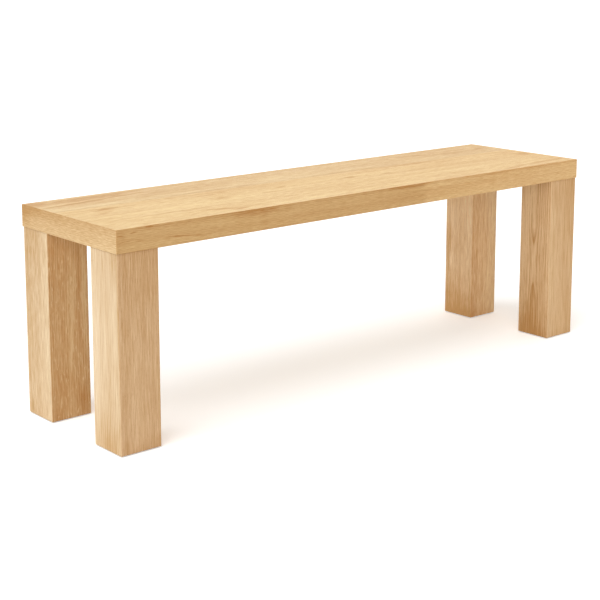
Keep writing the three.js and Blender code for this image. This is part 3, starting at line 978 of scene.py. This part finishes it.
def glides():
    """A plastic disc under each leg, with a rounded rim, a hollow middle and a pin."""
    for corner in CORNERS:
        node = f"{corner}_glide"
        low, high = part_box(node)
        radius = (high.x - low.x) / 2
        height = high.z - low.z
        middle = radius - GLIDE_ROUNDING
        turns = [math.radians(90 * i / GLIDE_ROUNDING_STEPS) for i in range(GLIDE_ROUNDING_STEPS + 1)]
        rim = [(middle + GLIDE_ROUNDING * math.sin(a), GLIDE_ROUNDING * (1 - math.cos(a))) for a in turns]
        pin_shoulder = height - GLIDE_PIN_RADIUS
        outline = [(0, GLIDE_HOLLOW), (GLIDE_HOLLOW_FLOOR * middle, GLIDE_HOLLOW)]
        outline += [(GLIDE_HOLLOW_EDGE * middle, 0)]
        outline += rim + [(radius, GLIDE_HEAD_HEIGHT), (GLIDE_PIN_RADIUS, GLIDE_HEAD_HEIGHT)]
        outline += [(GLIDE_PIN_RADIUS, pin_shoulder), (0, height)]
        place = Matrix.Translation(((low.x + high.x) / 2, (low.y + high.y) / 2, low.z))
        mesh = turned_mesh(node + "_turned", outline)
        show(node + "_turned", mesh, [PLASTIC], place, "glide_plastic", node)


def hidden_pieces():
    """Finishes for the pieces that keep their CAD solids: the underside and all that is inside."""
    finishes = {"honeycomb": PAPER, "rail": CHIPBOARD, "block": CHIPBOARD, "bolt": STEEL, "insert": STEEL}
    underside = oak("seat_bottom_panel", **UNDERSIDE_SHEET)
    for name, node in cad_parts.items():
        finish = next((f for word, f in finishes.items() if word in name), None)
        if name == "seat_bottom_panel":
            finish = underside
        if finish:
            for slot in node.material_slots:
                slot.material = finish


# Camera, light and floor

def make_camera():
    data = bpy.data.cameras.new("camera")
    data.sensor_width = CAMERA_SENSOR
    data.lens = CAMERA_LENS
    data.shift_y = CAMERA_SHIFT
    camera = bpy.data.objects.new("camera", data)
    bpy.context.scene.collection.objects.link(camera)
    camera.location = CAMERA_PLACE
    camera.rotation_euler = (math.radians(90 - CAMERA_TILT), 0, math.radians(-CAMERA_HEADING))
    bpy.context.scene.camera = camera


def make_lamp(name, level, color, direction, spread, shines=True):
    """A large soft light that gives its level to a surface that faces it, and a sheen if it shines."""
    data = bpy.data.lights.new(name, "SUN")
    data.angle = math.radians(spread)
    data.energy = level * math.pi
    data.color = color
    lamp = bpy.data.objects.new(name, data)
    bpy.context.scene.collection.objects.link(lamp)
    lamp.visible_glossy = shines
    lamp.location = Vector(direction).normalized() * LAMP_DISTANCE
    lamp.rotation_euler = Vector(direction).to_track_quat("Z", "Y").to_euler()


def seen_straight(n):
    """1 for what the camera, a reflection or a transmission shows, 0 for light on a surface."""
    rays = n.add("ShaderNodeLightPath").outputs
    seen = n.math("MAXIMUM", rays["Is Camera Ray"], rays["Is Glossy Ray"])
    return n.math("MAXIMUM", seen, rays["Is Transmission Ray"])


def make_sky():
    """Even light from all round, which shows as white."""
    world = bpy.data.worlds.new("studio")
    bpy.context.scene.world = world
    world.use_nodes = True
    n = Nodes(world.node_tree)
    seen = seen_straight(n)
    strength = n.rescale(seen, 0, 1, SKY_LEVEL, 1.0)
    color = n.mix(seen, SKY_COLOR, (1, 1, 1, 1))
    background = n.add("ShaderNodeBackground", {"Color": color, "Strength": strength})
    n.add("ShaderNodeOutputWorld", {"Surface": background.outputs[0]})


def make_floor():
    """A pale floor that shows as white where nothing shades it, and keeps the bench's shadow."""
    mesh = bpy.data.meshes.new("floor")
    half = FLOOR_SIZE / 2
    corners = [(-half, -half, 0), (half, -half, 0), (half, half, 0), (-half, half, 0)]
    mesh.from_pydata(corners, [], [(0, 1, 2, 3)])
    floor = bpy.data.objects.new("floor", mesh)
    bpy.context.scene.collection.objects.link(floor)
    material, n = new_material("floor")
    plain = n.add("ShaderNodeBsdfDiffuse", {"Color": color4(FLOOR_COLOR)}).outputs[0]
    pale = n.add("ShaderNodeBsdfDiffuse", {"Color": color4(FLOOR_SEEN_COLOR)}).outputs[0]
    lift = n.add("ShaderNodeEmission", {"Color": (1, 1, 1, 1), "Strength": FLOOR_SEEN_LIFT}).outputs[0]
    lifted = n.add("ShaderNodeAddShader", {0: pale, 1: lift}).outputs[0]
    surface = n.add("ShaderNodeMixShader", {0: seen_straight(n), 1: plain, 2: lifted}).outputs[0]
    n.add("ShaderNodeOutputMaterial", {"Surface": surface})
    mesh.materials.append(material)


make_camera()
make_lamp("key", KEY_LEVEL, KEY_COLOR, KEY_DIRECTION, KEY_SPREAD)
make_lamp("fill", FILL_LEVEL, FILL_COLOR, FILL_DIRECTION, FILL_SPREAD)
make_lamp("back", BACK_LEVEL, BACK_COLOR, BACK_DIRECTION, BACK_SPREAD, shines=False)
make_sky()
make_floor()
seat_panel()
seat_bands()
leg_boards()
glides()
hidden_pieces()

bpy.context.scene.view_settings.view_transform = "Standard"
